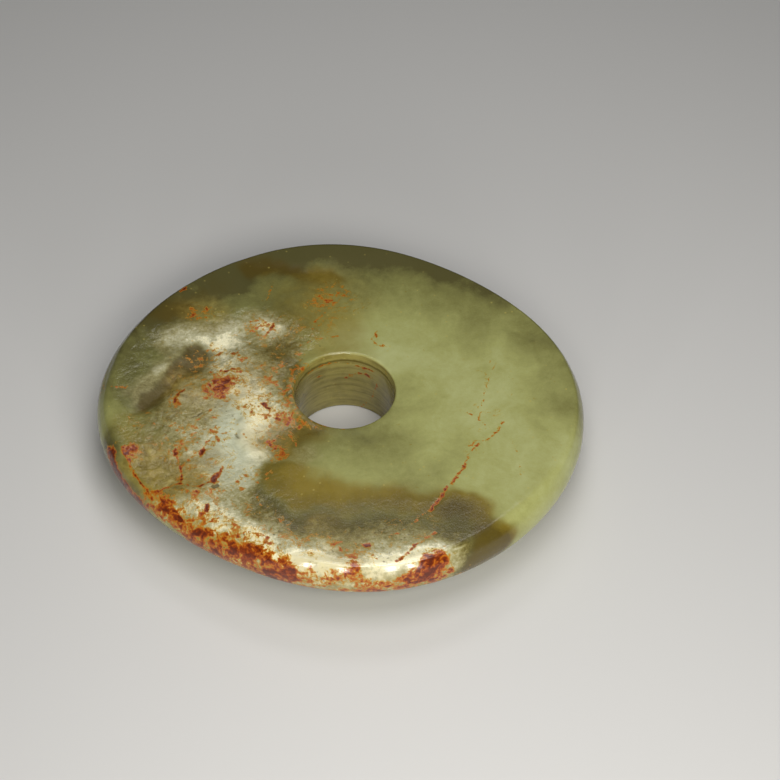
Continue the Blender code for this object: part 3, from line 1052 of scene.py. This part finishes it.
def boreWall(shader, noises, where, body):
    # Drill rings, and the groove below the mouth
    bore = shader.field("bore")
    rings = noises["rings"] + noises["mottle"].swing(0.5)
    body = shader.mix(bore * 0.9, body, shader.ramp(rings, {0.3: "boreDark", 0.6: "bore"}))
    tall = shader.node("ShaderNodeSeparateXYZ", None, {"Vector": where}, output="Z")
    fromGroove = tall + noises["mottle"].swing(0.8) - (form["thickness"] - relief["grooveBelowMouth"])
    groove = 1 - fromGroove.absolute().between(0.1, 0.5)
    return shader.mix(groove * bore * 0.75, body, tint("oliveDark"))


def specksAndFlecks(shader, noises, where, alteredShare, body):
    dots = 1 - shader.dots(where, 1.3).between(0.12, 0.3)
    dots = dots * noises["fine"].between(0.5, 0.62) * shader.field("speck").between(0.1, 0.8)
    body = shader.mix(dots * 0.7, body, tint("speck"))
    flecks = 1 - shader.dots(shader.shifted(where, (5, 9, 1)), 2.4).between(0.06, 0.16)
    flecks = flecks * (1 - alteredShare) * noises["middle"].between(0.45, 0.6)
    return shader.mix(flecks * 0.5, body, tint("gold"))


def rustHeat(shader, noises, lace):
    # How strong the rust is: clusters and skin, veins, and threads, whichever is most
    spots = noises["spots"].between(0.35, 0.7)
    patches = noises["patches"].between(0.3, 0.7)
    stain = shader.field("stain") - 0.70 + lace.swing(0.80) + patches.swing(0.60) + spots.swing(0.25)
    vein = (shader.field("vein") - 0.69 + lace.swing(0.20) + spots.swing(0.14)) * 3.4
    thread = 1 - (noises["threads"] - 0.5).absolute() * 32
    thread = thread.between(0.0, 1.0) * 0.40 - 0.15 + lace.swing(0.25) + patches.swing(0.45)
    threads = shader.field("threads")
    return stain.most(vein).most(thread * threads + (threads - 1) * 0.5)


def makeJade():
    shader = Shader("nephrite")
    where = shader.places()
    noises = {name: jadeNoise(shader, where, name) for name in jadeNoises}
    middle, fine, mottle = noises["middle"], noises["fine"], noises["mottle"]
    lace = noises["lace"].between(0.3, 0.7)

    olive = shader.field("olive")
    oliveShare = (olive + middle.swing(0.9) * olive.between(0.0, 0.4)).between(0.0, 1.0)
    alteredShare = (shader.field("altered") + middle.swing(0.6) + fine.swing(0.4)).between(0.15, 0.9)
    body = greenStone(shader, noises, oliveShare)
    body = shader.mix(alteredShare * (1 - oliveShare * 0.85), body, whiteStone(shader, noises, oliveShare))
    honey = shader.ramp(mottle + fine.swing(0.5), {0.35: "honeyDark", 0.75: "honey"})
    body = shader.mix(shader.field("honey") * 0.75, body, honey)
    body = boreWall(shader, noises, where, body)
    body = specksAndFlecks(shader, noises, where, alteredShare, body)

    heat = rustHeat(shader, noises, lace)
    rust = shader.ramp(heat, {0.10: "ochre", 0.26: "amber", 0.40: "orange", 0.62: "red", 0.95: "dark"})
    body = shader.mix(heat.between(-0.15, 0.10) * 0.75, body, tint("halo"), "MULTIPLY")
    body = shader.mix(heat.between(0.04, 0.24), body, rust)
    crack = (shader.field("crack") * (0.7 + 0.6 * lace)).between(0.35, 0.8)
    body = shader.mix(crack * 0.8, body, tint("speck"))

    # Its polish, and the unevenness too fine for the mesh
    gloss = shader.field("gloss")
    dull = 1 - gloss.between(0.0, 0.8)
    rough = (0.14 + 0.10 * fine + 0.06 * alteredShare) * (1 - gloss * 0.6) + heat.between(0.05, 0.4) * 0.06
    skin = noises["streak"] * 0.15 + noises["speckle"] * 0.55 + noises["grain"] * 0.3
    height = (skin * (0.12 + 0.88 * alteredShare) * dull + noises["rings"] * shader.field("bore")
        + (fine * 3.5 + mottle * 4.5) * shader.field("uneven") * dull)
    bumped = shader.node("ShaderNodeBump", None, {"Strength": 0.28, "Distance": 0.0003, "Height": height})
    return shader.finish({"Base Color": body, "Roughness": rough, "Normal": bumped, **jadeLooks})


disc.data.materials.append(makeJade())
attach(disc, "root")
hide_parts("disc")
print("nephrite made")


# Floor and light
studio = {
    "floorSize": 12,
    "floorColour": (0.62, 0.61, 0.59),
    "floorRoughness": 0.75,
    "skyColour": (0.9, 0.95, 1.0),
    "skyStrength": 0.05,
}

# Turn round the disc (0 is the right, -90 the front) and height in degrees,
# distance, width and height in m, and power in watts
lamps = {
    "key": {"turn": -78, "rise": 44, "away": 0.40, "size": (0.24, 0.12), "power": 0.85},
    "overhead": {"turn": -70, "rise": 76, "away": 0.38, "size": (0.20, 0.20), "power": 0.52},
    "sheen": {"turn": 84, "rise": 65, "away": 0.50, "size": (0.16, 0.10), "power": 0.27},
}
keyColour = (1.0, 0.98, 0.94)

# Four narrow lamps low in front, one for each of the rim's glints
glint = {"rise": 12, "away": 0.55, "size": (0.035, 0.16), "power": 0.30}
glintTurns = {"glintLeft": -113, "glintMiddle": -98, "glintRight": -76, "glintFarRight": -68}
for glintName, glintTurn in glintTurns.items():
    lamps[glintName] = {"turn": glintTurn, **glint}


def makeFloor():
    half = studio["floorSize"] / 2
    mesh = bpy.data.meshes.new("floor")
    corners = [(-half, -half, 0), (half, -half, 0), (half, half, 0), (-half, half, 0)]
    mesh.from_pydata(corners, [], [(0, 1, 2, 3)])
    looks = {"Base Color": (*studio["floorColour"], 1), "Roughness": studio["floorRoughness"]}
    mesh.materials.append(Shader("floor").finish(looks))
    floor = bpy.data.objects.new("floor", mesh)
    bpy.context.scene.collection.objects.link(floor)


def makeLamp(name, lamp):
    data = bpy.data.lights.new(name, "AREA")
    data.shape = "RECTANGLE"
    data.size, data.size_y = lamp["size"]
    data.energy = lamp["power"]
    if name == "key":
        data.color = keyColour
    turn, rise = math.radians(lamp["turn"]), math.radians(lamp["rise"])
    way = Vector((math.cos(turn) * math.cos(rise), math.sin(turn) * math.cos(rise), math.sin(rise)))
    facing = way.to_track_quat("Z", "Y").to_matrix().to_4x4()
    light = bpy.data.objects.new(name, data)
    light.matrix_world = Matrix.Translation(way * lamp["away"]) @ facing
    bpy.context.scene.collection.objects.link(light)


def makeWorld():
    world = bpy.data.worlds.new("studio")
    world.use_nodes = True
    sky = world.node_tree.nodes["Background"]
    sky.inputs["Color"].default_value = (*studio["skyColour"], 1)
    sky.inputs["Strength"].default_value = studio["skyStrength"]
    bpy.context.scene.world = world


makeFloor()
makeWorld()
for lampName, lampLooks in lamps.items():
    makeLamp(lampName, lampLooks)
bpy.context.scene.view_settings.view_transform = "Standard"
print("floor and lamps set")
